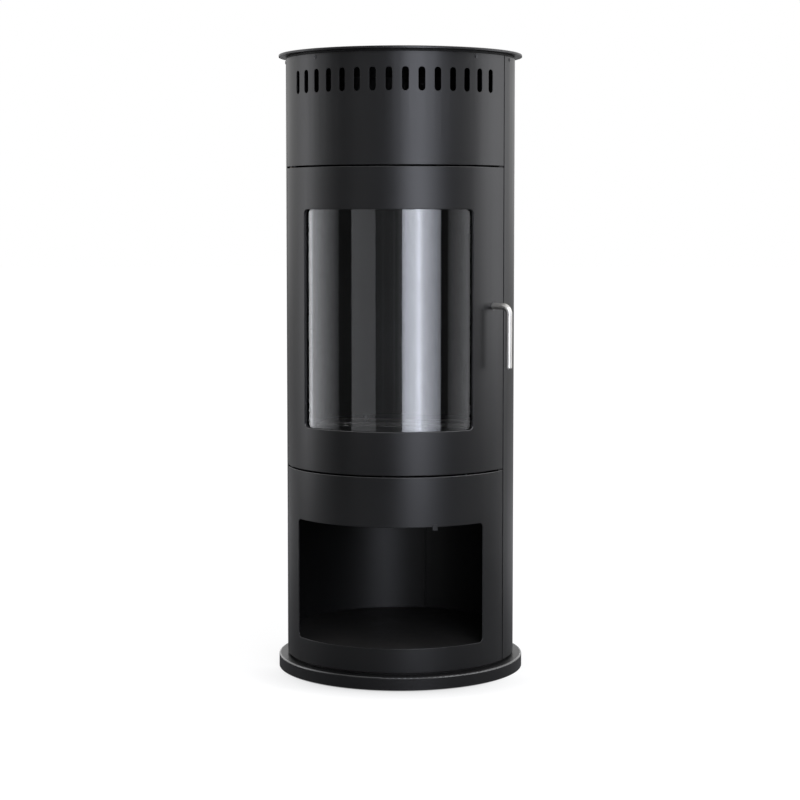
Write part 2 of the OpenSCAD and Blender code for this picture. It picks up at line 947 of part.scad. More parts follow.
module door_handle() {
    shaft_x0 = tongue_x0 - shaft_nut_h - shaft_end;
    bend_x = grip_r - bend_r;
    grip_z0 = handle_at_z - grip_drop;
    bend_z = handle_at_z - bend_r;
    color("#c9cbcc") {
        radial_bar(handle_angle, handle_at_z, shaft_x0, tongue_x1 + over, shaft_end_r);
        radial_bar(handle_angle, handle_at_z, tongue_x1, bend_x, bar_r);
        at_angle(handle_angle) {
            translate([bend_x, 0, bend_z])
                rotate([90, 0, 0])
                    rotate_extrude(angle = 90)
                        translate([bend_r, 0])
                            circle(r = bar_r);
            translate([grip_r, 0, grip_z0 + bar_chamfer])
                cylinder(h = bend_z - grip_z0 - bar_chamfer, r = bar_r);
            translate([grip_r, 0, grip_z0])
                cylinder(h = bar_chamfer, r1 = bar_r - bar_chamfer, r2 = bar_r);
        }
    }
}

module latch_tongue() {
    color("#a9acae")
        at_angle(handle_angle)
            translate([tongue_x0, 0, handle_at_z])
                difference() {
                    union() {
                        rotate([0, 90, 0])
                            cylinder(h = tongue_t, r = tongue_w / 2);
                        translate([0, 0, -tongue_w / 2])
                            cube([tongue_t, tongue_l, tongue_w]);
                    }
                    translate([-over, 0, 0])
                        rotate([0, 90, 0])
                            cylinder(h = tongue_t + 2 * over, r = shaft_end_r + running);
                }
}

module shaft_nut() {
    color("#b0b2b4")
        at_angle(handle_angle)
            translate([tongue_x0 - shaft_nut_h, 0, handle_at_z])
                rotate([0, 90, 0])
                    hex_nut(nut_across_r, shaft_nut_h, shaft_end_r + running);
}

module burner_tank() {
    color("#c2c4c5")
        difference() {
            translate([-tank_l / 2, -tank_w / 2, tank_z0])
                cube([tank_l, tank_w, tank_h]);
            translate([-tank_l / 2 + tank_t, -tank_w / 2 + tank_t, tank_z0 + tank_t])
                cube([tank_l - 2 * tank_t, tank_w - 2 * tank_t, tank_h]);
        }
}

module burner_plate() {
    color("#c2c4c5")
        difference() {
            translate([-plate_l / 2, -plate_w / 2, deck_z])
                cube([plate_l, plate_w, plate_t]);
            translate([fire_x0, -fire_w / 2, deck_z - over])
                cube([fire_l, fire_w, plate_t + 2 * over]);
        }
}

module ceramic_wool() {
    gap = tank_t + fit;
    color("#e4e1d8")
        translate([-tank_l / 2 + gap, -tank_w / 2 + gap, tank_z0 + tank_t])
            cube([tank_l - 2 * gap, tank_w - 2 * gap, tank_h - tank_t - wool_gap]);
}

// Rail with a foot on the plate and a lip over the lid's edge, on one side of the lid
module lid_guide() {
    length = tank_l - 2 * guide_end;
    wall_y = lid_w / 2 + snug;
    translate([-length / 2, wall_y, plate_z1])
        cube([length, guide_foot, guide_t]);
    translate([-length / 2, wall_y, plate_z1])
        cube([length, guide_t, guide_top_z - plate_z1 + guide_t]);
    translate([-length / 2, wall_y - guide_lap, guide_top_z])
        cube([length, guide_lap + guide_t, guide_t]);
}

module lid_guides() {
    color("#b4b6b7") {
        lid_guide();
        mirror([0, 1, 0])
            lid_guide();
    }
}

module burner_lid() {
    color("#c9cbcc")
        translate([lid_x0, -lid_w / 2, lid_z0])
            cube([lid_l, lid_w, lid_t]);
}

module lid_knob() {
    color("#1c1c1c")
        translate([lid_x0 + lid_l / 2, 0, lid_z0 + lid_t])
            rotate_extrude() {
                square([knob_stem_r, knob_stem_h + knob_h]);
                translate([0, knob_stem_h])
                    square([knob_r, knob_h - knob_edge]);
                translate([0, knob_stem_h])
                    square([knob_r - knob_edge, knob_h]);
                translate([knob_r - knob_edge, knob_stem_h + knob_h - knob_edge])
                    circle(r = knob_edge);
            }
}

foot_pads();
foot_studs();
foot_nuts();
base_pan();
plinth_ring();
floor_tray();
left_shell();
right_shell();
back_strip();
strip_rivets();
left_seam_strip();
right_stop_strip();
lower_front_panel();
tool_clip();
firebox_floor();
deck_legs();
burner_deck();
heat_shield();
firebox_ceiling();
upper_front_panel();
top_ring();
top_plate();
case_screws();
flange_screws();
hinge_pins();
thrust_washers();
catch_spring();
catch_screws();
door_panel();
window_glass();
glass_gasket();
glass_clips();
clip_studs();
clip_nuts();
hinge_bushes();
handle_bush();
door_handle();
latch_tongue();
shaft_nut();
burner_tank();
burner_plate();
ceramic_wool();
lid_guides();
burner_lid();
lid_knob();
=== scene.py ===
"""Looks of a round free-standing bioethanol fireplace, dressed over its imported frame."""
import math

import bpy
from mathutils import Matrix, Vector, noise


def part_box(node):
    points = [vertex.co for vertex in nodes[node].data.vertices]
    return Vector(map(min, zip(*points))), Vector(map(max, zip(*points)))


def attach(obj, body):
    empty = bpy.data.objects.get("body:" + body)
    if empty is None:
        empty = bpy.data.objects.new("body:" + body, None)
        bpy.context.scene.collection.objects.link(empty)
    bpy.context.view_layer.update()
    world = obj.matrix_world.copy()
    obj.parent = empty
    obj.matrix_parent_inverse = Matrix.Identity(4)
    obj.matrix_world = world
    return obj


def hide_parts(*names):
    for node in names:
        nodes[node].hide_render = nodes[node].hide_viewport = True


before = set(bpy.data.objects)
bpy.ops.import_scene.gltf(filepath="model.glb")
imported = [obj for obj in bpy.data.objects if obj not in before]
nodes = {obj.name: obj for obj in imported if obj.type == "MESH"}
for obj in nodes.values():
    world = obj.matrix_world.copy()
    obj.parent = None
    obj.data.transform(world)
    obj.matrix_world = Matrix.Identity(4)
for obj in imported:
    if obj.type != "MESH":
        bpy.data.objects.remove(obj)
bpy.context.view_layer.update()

# lengths are in metres, angles in degrees
CAMERA_SIDE = 8.5             # to the viewer's right of the stove's front
CAMERA_TILT = 85.849          # up from looking straight down
CAMERA_PLACE = (0.5493, -3.6752, 0.829)
PANEL_AWAY = 3.0              # from the stove's middle line to a light panel
DRAPE_AWAY = 3.3              # the same to a dark drape
DRAPE_COUNT = 7
DRAPE_START = -112            # bearing of the first drape's edge from the camera
DRAPE_STEP = 28               # from one drape's edge to the next one's
DRAPE_LAP = 0.2               # how far a drape reaches over the next
ROOM_LIGHT = 0.45             # strength of the white room as a light; it is seen at 1
FLOOR_RADIUS = 30
FLOOR_SEEN = (0.1, 0.1, 0.1, 1)   # the floor's colour to the camera, before its lift
BODY_INNER_RADIUS = 0.2078
VENTED_FRONT_BOTTOM = 0.93    # inside faces above this height are dull
BASE_RIM_RADIUS = 0.2222      # the base's glossier rim, a painted highlight, lies outside this radius
SHEET_EDGE = 0.0009           # bevel widths: the edges beside the openings,
FOLDED_EDGE = 0.0005          # the two shells,
SLOT_EDGE = 0.0004            # the vent slots,
BAR_EDGE = 0.0008             # the handle and the window's cord,
RUBBER_EDGE = 0.0006          # and the feet
SHARP = 40                    # least angle between faces for a bevel
COMPARTMENT_TOP = 0.3         # the lower front's eased edges carry the painted highlight above this height
FACES_UP = 0.3                # least upward part of a normal for the edge finish, a painted highlight
WOOL_EDGE = 0.004             # bevel width of the wool pad
WOOL_SETTLE = 0.0008          # how far its top sinks everywhere,
WOOL_LUMP = 0.0028            # in its hollows,
WOOL_SLUMP = 0.003            # and towards its sides
WOOL_NAP = 0.0006             # how far its sides draw in


# ---------------------------------------------------------------- camera and studio

def place_camera():
    """A long lens nearly four metres away, looking slightly down on the stove."""
    lens = bpy.data.cameras.new("studio_camera")
    lens.sensor_width = 36
    lens.lens = 90.83
    lens.shift_x = -0.0005
    lens.shift_y = -0.045
    lens.clip_end = 80
    camera = bpy.data.objects.new("studio_camera", lens)
    bpy.context.scene.collection.objects.link(camera)
    camera.location = CAMERA_PLACE
    camera.rotation_euler = (math.radians(CAMERA_TILT), 0, math.radians(CAMERA_SIDE))
    bpy.context.scene.camera = camera
    bpy.context.scene.view_settings.view_transform = "Standard"


def put(tree, kind, **settings):
    """A new shader node with its settings."""
    node = tree.nodes.new(kind)
    for name, value in settings.items():
        setattr(node, name, value)
    return node


def new_material(name):
    """An empty node material and its tree."""
    material = bpy.data.materials.new(name)
    material.use_nodes = True
    material.node_tree.nodes.clear()
    return material, material.node_tree


def map_range(tree, from_min=0.0, from_max=1.0, to_min=0.0, to_max=1.0):
    """A node that takes one span of numbers to another and stops at its ends."""
    node = put(tree, "ShaderNodeMapRange")
    ends = {"From Min": from_min, "From Max": from_max, "To Min": to_min, "To Max": to_max}
    for label, value in ends.items():
        node.inputs[label].default_value = value
    return node


def light_cloth(name, colour, stops):
    """Glowing cloth whose strength runs across it through (place 0..1, strength) stops."""
    material, tree = new_material(name)
    top = max(strength for _, strength in stops)
    where = put(tree, "ShaderNodeTexCoord")
    across = put(tree, "ShaderNodeSeparateXYZ")
    ramp = put(tree, "ShaderNodeValToRGB")
    glow = put(tree, "ShaderNodeMath", operation="MULTIPLY")
    shine = put(tree, "ShaderNodeEmission")
    end = put(tree, "ShaderNodeOutputMaterial")
    places = ramp.color_ramp.elements
    for number, (place, strength) in enumerate(stops):
        stop = places[number] if number < 2 else places.new(place)
        stop.position = place
        stop.color = (strength / top,) * 3 + (1,)
    glow.inputs[1].default_value = top
    shine.inputs["Color"].default_value = (*colour, 1)
    tree.links.new(where.outputs["UV"], across.inputs[0])
    tree.links.new(across.outputs["X"], ramp.inputs[0])
    tree.links.new(ramp.outputs["Color"], glow.inputs[0])
    tree.links.new(glow.outputs[0], shine.inputs["Strength"])
    tree.links.new(shine.outputs[0], end.inputs["Surface"])
    return material


def hang_panel(name, start, stop, low, high, cloth, away=PANEL_AWAY):
    """An upright flat panel facing the stove, between two bearings taken from the camera's."""
    middle = math.radians((start + stop) / 2 + CAMERA_SIDE)
    half = math.radians(abs(stop - start) / 2)
    bpy.ops.object.select_all(action="DESELECT")
    bpy.ops.mesh.primitive_plane_add(size=1, location=(0, 0, 0))
    panel = bpy.context.object
    panel.name = name
    panel.scale = (2 * away * math.tan(half), high - low, 1)
    panel.rotation_euler = (math.radians(90), 0, middle + math.pi)
    panel.location = (away * math.sin(middle), -away * math.cos(middle), (low + high) / 2)
    panel.data.materials.append(cloth)
    panel.visible_camera = False
    return panel


def light_studio():
    """Large soft panels round the front, a ceiling panel, dark drapes and a white room behind."""
    cool = (0.94, 0.97, 1.08)
    mild = (0.98, 0.985, 1.02)
    # a stop's place runs from a panel's highest bearing, at 0, to its lowest, at 1
    key = light_cloth("key_cloth", cool, [
        (0, 1.6), (0.09, 2.15), (0.3, 3.9), (0.45, 5.6), (0.5, 7.2), (0.545, 9.2),
        (0.59, 9.2), (0.63, 7.9), (0.7, 6.6), (0.9, 5.1), (1, 2.6)])
    hang_panel("key_panel", 1.5, 40.5, 0.06, 2.1, key)
    hang_panel("upper_key_panel", 1.5, 40.5, 2.12, 4.2, key)
    right = light_cloth("right_cloth", mild, [(0, 1.45), (0.5, 0.7), (1, 0.26)])
    hang_panel("right_panel", 48.5, 76, 0.0, 2.1, right)
    far_right = light_cloth("far_right_cloth", mild, [(0, 0.9), (0.5, 2.8), (1, 4.1)])
    hang_panel("far_right_panel", 82, 128, 0.35, 2.6, far_right)
    upper_right = light_cloth("upper_right_cloth", mild, [(0, 4.5), (1, 4.5)])
    hang_panel("upper_right_panel", 48, 112, 2.7, 4.6, upper_right)
    left = light_cloth("left_cloth", mild, [
        (0, 0.1), (0.1, 0.3), (0.32, 0.9), (0.65, 2.1), (0.7, 3.9), (0.745, 4.8), (0.79, 2.6),
        (1, 0.9)])
    hang_panel("left_panel", -61, -118, 0.0, 2.9, left)
    near_left = light_cloth("near_left_cloth", mild, [(0, 0.62), (1, 0.74)])
    hang_panel("near_left_panel", -49.5, -24.5, 0.0, 2.1, near_left)
    front = light_cloth("front_cloth", mild, [
        (0, 0.55), (0.07, 0.32), (0.16, 0.19), (0.23, 0.18), (0.28, 0.28), (0.33, 0.17),
        (0.5, 0.15), (0.66, 0.15), (0.72, 0.2), (0.78, 0.15), (1, 0.14)])
    hang_panel("front_panel", -24.0, 0.8, 0.0, 2.1, front)

    bpy.ops.object.select_all(action="DESELECT")
    bpy.ops.mesh.primitive_plane_add(size=2.7, location=(0.2, -0.9, 3.3),
                                     rotation=(math.pi, 0, 0))
    ceiling = bpy.context.object
    ceiling.name = "ceiling_panel"
    ceiling.data.materials.append(light_cloth("ceiling_cloth", mild, [(0, 1.3), (1, 1.3)]))
    ceiling.visible_camera = False

    drape = light_cloth("drape_cloth", (1, 1, 1), [(0, 0.05), (1, 0.05)])
    for number in range(DRAPE_COUNT):
        start = DRAPE_START + number * DRAPE_STEP
        stop = start + DRAPE_STEP + DRAPE_LAP
        panel = hang_panel("dark_drape_%d" % number, start, stop, -0.02, 2.4, drape, DRAPE_AWAY)
        panel.visible_diffuse = False

    world = bpy.data.worlds.new("white_room")
    bpy.context.scene.world = world
    world.use_nodes = True
    tree = world.node_tree
    tree.nodes.clear()
    path = put(tree, "ShaderNodeLightPath")
    seen = put(tree, "ShaderNodeMath", operation="MAXIMUM")
    seen_too = put(tree, "ShaderNodeMath", operation="MAXIMUM")
    strength = map_range(tree, to_min=ROOM_LIGHT)
    sky = put(tree, "ShaderNodeBackground")
    end = put(tree, "ShaderNodeOutputWorld")
    tree.links.new(path.outputs["Is Camera Ray"], seen.inputs[0])
    tree.links.new(path.outputs["Is Glossy Ray"], seen.inputs[1])
    tree.links.new(seen.outputs[0], seen_too.inputs[0])
    tree.links.new(path.outputs["Is Transmission Ray"], seen_too.inputs[1])
    tree.links.new(seen_too.outputs[0], strength.inputs["Value"])
    sky.inputs["Color"].default_value = (1, 1, 1, 1)
    tree.links.new(strength.outputs[0], sky.inputs["Strength"])
    tree.links.new(sky.outputs[0], end.inputs["Surface"])


def lay_floor():
    """A pale floor that keeps the stove's soft shadow, and a painted contact shadow under the
    base's front.
    """
    bpy.ops.object.select_all(action="DESELECT")
    bpy.ops.mesh.primitive_circle_add(vertices=96, radius=FLOOR_RADIUS, fill_type="NGON",
                                      location=(0, 0, 0))
    floor = bpy.context.object
    floor.name = "studio_floor"
    material, tree = new_material("pale_floor")
    path = put(tree, "ShaderNodeLightPath")
    where = put(tree, "ShaderNodeTexCoord")
    split = put(tree, "ShaderNodeSeparateXYZ")
    reach = put(tree, "ShaderNodeVectorMath", operation="LENGTH")
    tree.links.new(where.outputs["Object"], split.inputs[0])
    tree.links.new(where.outputs["Object"], reach.inputs[0])

    # as a light it is darker in front of the stove and paler behind it
    depth = map_range(tree, 0.3, 1.5, 0.2, 0.6)
    cloth = put(tree, "ShaderNodeMix", data_type="RGBA")
    matt = put(tree, "ShaderNodeBsdfDiffuse")
    cloth.inputs["B"].default_value = FLOOR_SEEN
    tree.links.new(split.outputs["Y"], depth.inputs["Value"])
    tree.links.new(depth.outputs[0], cloth.inputs["A"])
    tree.links.new(path.outputs["Is Camera Ray"], cloth.inputs["Factor"])
    tree.links.new(cloth.outputs["Result"], matt.inputs["Color"])

    # painted contact shadow: ambient occlusion darkens the floor's lift under the base's front,
    # only near the stove
    corner = put(tree, "ShaderNodeAmbientOcclusion")
    front = map_range(tree, -0.22, -0.06, 0.9, 0.1)
    near = map_range(tree, 0.35, 0.5, 1.0, 0.0)
    contact_shadow_share = put(tree, "ShaderNodeMath", operation="MULTIPLY")
    part = put(tree, "ShaderNodeMix")
    corner.inputs["Distance"].default_value = 0.1
    part.inputs["A"].default_value = 1
    tree.links.new(split.outputs["Y"], front.inputs["Value"])
    tree.links.new(reach.outputs["Value"], near.inputs["Value"])
    tree.links.new(front.outputs[0], contact_shadow_share.inputs[0])
    tree.links.new(near.outputs[0], contact_shadow_share.inputs[1])
    tree.links.new(contact_shadow_share.outputs[0], part.inputs["Factor"])
    # the occlusion scales the camera-only glow, so this shadow is painted
    tree.links.new(corner.outputs["AO"], part.inputs["B"])

    # what the camera sees is lifted to white, fully from two metres out
    far = map_range(tree, 0.8, 2.2, 0.92, 1.0)
    held = put(tree, "ShaderNodeMath", operation="MULTIPLY")
    lift = put(tree, "ShaderNodeMath", operation="MULTIPLY")
    glow = put(tree, "ShaderNodeEmission")
    both = put(tree, "ShaderNodeAddShader")
    end = put(tree, "ShaderNodeOutputMaterial")
    tree.links.new(reach.outputs["Value"], far.inputs["Value"])
    tree.links.new(far.outputs[0], held.inputs[0])
    tree.links.new(part.outputs["Result"], held.inputs[1])
    tree.links.new(held.outputs[0], lift.inputs[0])
    tree.links.new(path.outputs["Is Camera Ray"], lift.inputs[1])
    tree.links.new(lift.outputs[0], glow.inputs["Strength"])
    tree.links.new(matt.outputs[0], both.inputs[0])
    tree.links.new(glow.outputs[0], both.inputs[1])
    tree.links.new(both.outputs[0], end.inputs["Surface"])
    floor.data.materials.append(material)


# ---------------------------------------------------------------- shared surface effects

def new_effect(name, inputs, outputs):
    """An effect group: a Vector, then named numbers in, and named heights or masks out."""
    group = bpy.data.node_groups.new(name, "ShaderNodeTree")
    group.interface.new_socket(name="Vector", in_out="INPUT", socket_type="NodeSocketVector")
    for label, value in inputs.items():
        socket = group.interface.new_socket(name=label, in_out="INPUT",
                                            socket_type="NodeSocketFloat")
        socket.default_value = value
    for label in outputs:
        group.interface.new_socket(name=label, in_out="OUTPUT", socket_type="NodeSocketFloat")
    return group, put(group, "NodeGroupInput"), put(group, "NodeGroupOutput")


def paint_skin():
    """Sprayed or moulded skin: a fine grain, and a broad cloudiness of the sheen."""
    group, start, end = new_effect("paint_skin", {"Grain": 900, "Cloud": 9}, ["Height", "Sheen"])
    grain = put(group, "ShaderNodeTexNoise")
    cloud = put(group, "ShaderNodeTexNoise")
    spread = map_range(group, 0.3, 0.7)
    grain.inputs["Detail"].default_value = 3
    cloud.inputs["Detail"].default_value = 5
    for texture, label in ((grain, "Grain"), (cloud, "Cloud")):
        group.links.new(start.outputs["Vector"], texture.inputs["Vector"])
        group.links.new(start.outputs[label], texture.inputs["Scale"])
    group.links.new(grain.outputs["Fac"], end.inputs["Height"])
    group.links.new(cloud.outputs["Fac"], spread.inputs["Value"])
    group.links.new(spread.outputs[0], end.inputs["Sheen"])
    return group


def brush_lines():
    """Fine lines of a brushed or drawn metal, long along the stretched axis of its Vector."""
    group, start, end = new_effect("brush_lines", {"Lines": 1400, "Bands": 160},
                                   ["Height", "Streak"])
    fine = put(group, "ShaderNodeTexNoise")
    wide = put(group, "ShaderNodeTexNoise")
    blend = put(group, "ShaderNodeMath", operation="MULTIPLY_ADD")
    fine.inputs["Detail"].default_value = 2
    wide.inputs["Detail"].default_value = 3
    blend.inputs[1].default_value = 0.6
    for texture, label in ((fine, "Lines"), (wide, "Bands")):
        group.links.new(start.outputs["Vector"], texture.inputs["Vector"])
        group.links.new(start.outputs[label], texture.inputs["Scale"])
    group.links.new(fine.outputs["Fac"], blend.inputs[0])
    group.links.new(wide.outputs["Fac"], blend.inputs[2])
    group.links.new(fine.outputs["Fac"], end.inputs["Height"])
    group.links.new(blend.outputs[0], end.inputs["Streak"])
    return group


def settled_dust():
    """Thin dust on what faces up, broken by a fine noise."""
    group, start, end = new_effect("settled_dust", {"Speck": 60, "Amount": 0.4}, ["Dust"])
    face = put(group, "ShaderNodeNewGeometry")
    split = put(group, "ShaderNodeSeparateXYZ")
    up = map_range(group, from_min=0.6)
    speck = put(group, "ShaderNodeTexNoise")
    part = put(group, "ShaderNodeMath", operation="MULTIPLY")
    whole = put(group, "ShaderNodeMath", operation="MULTIPLY")
    speck.inputs["Detail"].default_value = 6
    group.links.new(face.outputs["Normal"], split.inputs[0])
    group.links.new(split.outputs["Z"], up.inputs["Value"])
    group.links.new(start.outputs["Vector"], speck.inputs["Vector"])
    group.links.new(start.outputs["Speck"], speck.inputs["Scale"])
    group.links.new(up.outputs[0], part.inputs[0])
    group.links.new(speck.outputs["Fac"], part.inputs[1])
    group.links.new(part.outputs[0], whole.inputs[0])
    group.links.new(start.outputs["Amount"], whole.inputs[1])
    group.links.new(whole.outputs[0], end.inputs["Dust"])
    return group


def painted_highlight_rim():
    """What faces up or slants up on a disc's edge, outside a radius: where the rim's painted
    highlight goes.
    """
    group, start, end = new_effect("painted_highlight_rim", {"Radius": BASE_RIM_RADIUS}, ["Rim"])
    flat = put(group, "ShaderNodeVectorMath", operation="MULTIPLY")
    reach = put(group, "ShaderNodeVectorMath", operation="LENGTH")
    outer = put(group, "ShaderNodeMath", operation="GREATER_THAN")
    face = put(group, "ShaderNodeNewGeometry")
    split = put(group, "ShaderNodeSeparateXYZ")
    up = map_range(group, 0.1, 0.35)
    both = put(group, "ShaderNodeMath", operation="MULTIPLY")
    flat.inputs[1].default_value = (1, 1, 0)
    group.links.new(start.outputs["Vector"], flat.inputs[0])
    group.links.new(flat.outputs[0], reach.inputs[0])
    group.links.new(reach.outputs["Value"], outer.inputs[0])
    group.links.new(start.outputs["Radius"], outer.inputs[1])
    group.links.new(face.outputs["Normal"], split.inputs[0])
    group.links.new(split.outputs["Z"], up.inputs["Value"])
    group.links.new(outer.outputs[0], both.inputs[0])
    group.links.new(up.outputs[0], both.inputs[1])
    group.links.new(both.outputs[0], end.inputs["Rim"])
    return group


def inner_face():
    """The inside of the round body: within a radius of its middle line and above a height."""
    group, start, end = new_effect(
        "inner_face", {"Radius": BODY_INNER_RADIUS, "Bottom": VENTED_FRONT_BOTTOM}, ["Inside"])
    split = put(group, "ShaderNodeSeparateXYZ")
    higher = put(group, "ShaderNodeMath", operation="GREATER_THAN")
    both = put(group, "ShaderNodeMath", operation="MULTIPLY")
    flat = put(group, "ShaderNodeVectorMath", operation="MULTIPLY")
    reach = put(group, "ShaderNodeVectorMath", operation="LENGTH")
    inner = put(group, "ShaderNodeMath", operation="LESS_THAN")
    flat.inputs[1].default_value = (1, 1, 0)
    group.links.new(start.outputs["Vector"], flat.inputs[0])
    group.links.new(flat.outputs[0], reach.inputs[0])
    group.links.new(reach.outputs["Value"], inner.inputs[0])
    group.links.new(start.outputs["Radius"], inner.inputs[1])
    group.links.new(start.outputs["Vector"], split.inputs[0])
    group.links.new(split.outputs["Z"], higher.inputs[0])
    group.links.new(start.outputs["Bottom"], higher.inputs[1])
    group.links.new(inner.outputs[0], both.inputs[0])
    group.links.new(higher.outputs[0], both.inputs[1])
    group.links.new(both.outputs[0], end.inputs["Inside"])
    return group


def matted_fibres():
    """Loose mineral fibres lying across each other."""
    group, start, end = new_effect("matted_fibres", {"Fibre": 700, "Lump": 70}, ["Height", "Shade"])
    first = put(group, "ShaderNodeTexNoise")
    second = put(group, "ShaderNodeTexNoise")
    lump = put(group, "ShaderNodeTexNoise")
    along = put(group, "ShaderNodeMapping")
    across = put(group, "ShaderNodeMapping")
    higher = put(group, "ShaderNodeMath", operation="MAXIMUM")
    total = put(group, "ShaderNodeMath", operation="ADD")
    along.inputs["Scale"].default_value = (0.08, 1, 0.8)
    along.inputs["Rotation"].default_value = (0.2, 0.1, 0.5)
    across.inputs["Scale"].default_value = (1, 0.07, 0.9)
    across.inputs["Rotation"].default_value = (0.1, 0.3, -0.35)
    for texture, turn in ((first, along), (second, across)):
        texture.inputs["Detail"].default_value = 4
        texture.inputs["Distortion"].default_value = 0.6
        group.links.new(start.outputs["Vector"], turn.inputs["Vector"])
        group.links.new(turn.outputs["Vector"], texture.inputs["Vector"])
        group.links.new(start.outputs["Fibre"], texture.inputs["Scale"])
    group.links.new(start.outputs["Vector"], lump.inputs["Vector"])
    group.links.new(start.outputs["Lump"], lump.inputs["Scale"])
    group.links.new(first.outputs["Fac"], higher.inputs[0])
    group.links.new(second.outputs["Fac"], higher.inputs[1])
    group.links.new(higher.outputs[0], total.inputs[0])
    group.links.new(lump.outputs["Fac"], total.inputs[1])
    group.links.new(total.outputs[0], end.inputs["Height"])
    group.links.new(higher.outputs[0], end.inputs["Shade"])
    return group


def braided_yarn():
    """Crossing yarns of a braided glass-fibre cord; the gaps between them come out as painted
    shade.
    """
    group, start, end = new_effect("braided_yarn", {"Yarns": 260}, ["Height", "Gap"])
    one = put(group, "ShaderNodeTexWave", wave_type="BANDS", bands_direction="DIAGONAL")
    turn = put(group, "ShaderNodeMapping")
    two = put(group, "ShaderNodeTexWave", wave_type="BANDS", bands_direction="DIAGONAL")
    higher = put(group, "ShaderNodeMath", operation="MAXIMUM")
    gap_shade = put(group, "ShaderNodeMath", operation="SUBTRACT")
    turn.inputs["Scale"].default_value = (-1, 1, 1)
    gap_shade.inputs[0].default_value = 1
    for texture in (one, two):
        texture.inputs["Distortion"].default_value = 0.8
        group.links.new(start.outputs["Yarns"], texture.inputs["Scale"])
    group.links.new(start.outputs["Vector"], one.inputs["Vector"])
    group.links.new(start.outputs["Vector"], turn.inputs["Vector"])
    group.links.new(turn.outputs["Vector"], two.inputs["Vector"])
    group.links.new(one.outputs["Fac"], higher.inputs[0])
    group.links.new(two.outputs["Fac"], higher.inputs[1])
    group.links.new(higher.outputs[0], gap_shade.inputs[1])
    group.links.new(higher.outputs[0], end.inputs["Height"])
    group.links.new(gap_shade.outputs[0], end.inputs["Gap"])
    return group


EFFECTS = {build.__name__: build() for build in (
    paint_skin, brush_lines, settled_dust, painted_highlight_rim, inner_face, matted_fibres, braided_yarn)}


# ---------------------------------------------------------------- finishes

def start_finish(name, stretch=(1, 1, 1), **constants):
    """A material with its shader, and the piece's own coordinates stretched for the pattern."""
    material, tree = new_material(name)
    shader = put(tree, "ShaderNodeBsdfPrincipled")
    end = put(tree, "ShaderNodeOutputMaterial")
    where = put(tree, "ShaderNodeTexCoord")
    lay = put(tree, "ShaderNodeMapping")
    lay.inputs["Scale"].default_value = stretch
    tree.links.new(where.outputs["Object"], lay.inputs["Vector"])
    tree.links.new(shader.outputs[0], end.inputs["Surface"])
    for label, value in constants.items():
        shader.inputs[label.replace("_", " ")].default_value = value
    return material, tree, shader, lay


def use(tree, lay, effect, **values):
    """An effect group in a material, fed with its coordinates and numbers."""
    node = put(tree, "ShaderNodeGroup", node_tree=EFFECTS[effect])
    tree.links.new(lay.outputs["Vector"], node.inputs["Vector"])
    for label, value in values.items():
        node.inputs[label].default_value = value
    return node


def span(tree, mask, low, high, target, from_low=0.0, from_high=1.0):
    """Spreads a mask over a range of numbers for one of the shader's sockets."""
    spread = map_range(tree, from_low, from_high, low, high)
    tree.links.new(mask, spread.inputs["Value"])
    tree.links.new(spread.outputs[0], target)


def tint(tree, mask, first, second):
    """Two colours mixed by a mask."""
    blend = put(tree, "ShaderNodeMix", data_type="RGBA")
    blend.inputs["A"].default_value = (*first, 1)
    blend.inputs["B"].default_value = (*second, 1)
    tree.links.new(mask, blend.inputs["Factor"])
    return blend


def raise_bump(tree, height, shader, depth):
    """A height turned into the shader's normal, a given depth in metres."""
    bump = put(tree, "ShaderNodeBump")
    bump.inputs["Strength"].default_value = 1
    bump.inputs["Distance"].default_value = depth
    tree.links.new(height, bump.inputs["Height"])
    tree.links.new(bump.outputs["Normal"], shader.inputs["Normal"])


def satin_black_coating(name="satin_black_coating", rim=None):
    """The stove's coating; on a disc its up-facing rim, at the radius given, takes a gloss coat as
    a painted highlight.
    """
    material, tree, shader, lay = start_finish(name, Specular_IOR_Level=0.3)
    skin = use(tree, lay, "paint_skin", Grain=1100, Cloud=7)
    colour = tint(tree, skin.outputs["Sheen"],
                  (0.0035, 0.0035, 0.0036), (0.0052, 0.0052, 0.0053))
    tree.links.new(colour.outputs["Result"], shader.inputs["Base Color"])
    inside = use(tree, lay, "inner_face", Radius=BODY_INNER_RADIUS, Bottom=VENTED_FRONT_BOTTOM)
    rough = map_range(tree, to_min=0.34, to_max=0.38)
    dull = put(tree, "ShaderNodeMix")
    dull.inputs["B"].default_value = 0.55
    tree.links.new(skin.outputs["Sheen"], rough.inputs["Value"])
    tree.links.new(rough.outputs[0], dull.inputs["A"])
    tree.links.new(inside.outputs["Inside"], dull.inputs["Factor"])
    tree.links.new(dull.outputs["Result"], shader.inputs["Roughness"])
    raise_bump(tree, skin.outputs["Height"], shader, 0.00002)
    if rim:
        # gloss coat only where the rim faces up: painted highlight
        rim_highlight = use(tree, lay, "painted_highlight_rim", Radius=rim)
        shader.inputs["Coat IOR"].default_value = 1.45
        shader.inputs["Coat Roughness"].default_value = 0.2
        tree.links.new(rim_highlight.outputs["Rim"], shader.inputs["Coat Weight"])
    return material


def highlight_painted_edge_coating():
    """The coating over an eased sheet edge, a little paler and smoother and with a stronger
    specular: a painted highlight where the edges face up.
    """
    material, tree, shader, lay = start_finish(
        "highlight_painted_edge_coating", Specular_IOR_Level=1.0, IOR=1.7)
    skin = use(tree, lay, "paint_skin", Grain=1100, Cloud=30)
    # paler than the coating itself: painted highlight
    colour = tint(tree, skin.outputs["Sheen"], (0.005, 0.005, 0.005), (0.009, 0.009, 0.009))
    tree.links.new(colour.outputs["Result"], shader.inputs["Base Color"])
    span(tree, skin.outputs["Sheen"], 0.27, 0.33, shader.inputs["Roughness"])
    raise_bump(tree, skin.outputs["Height"], shader, 0.00001)
    return material


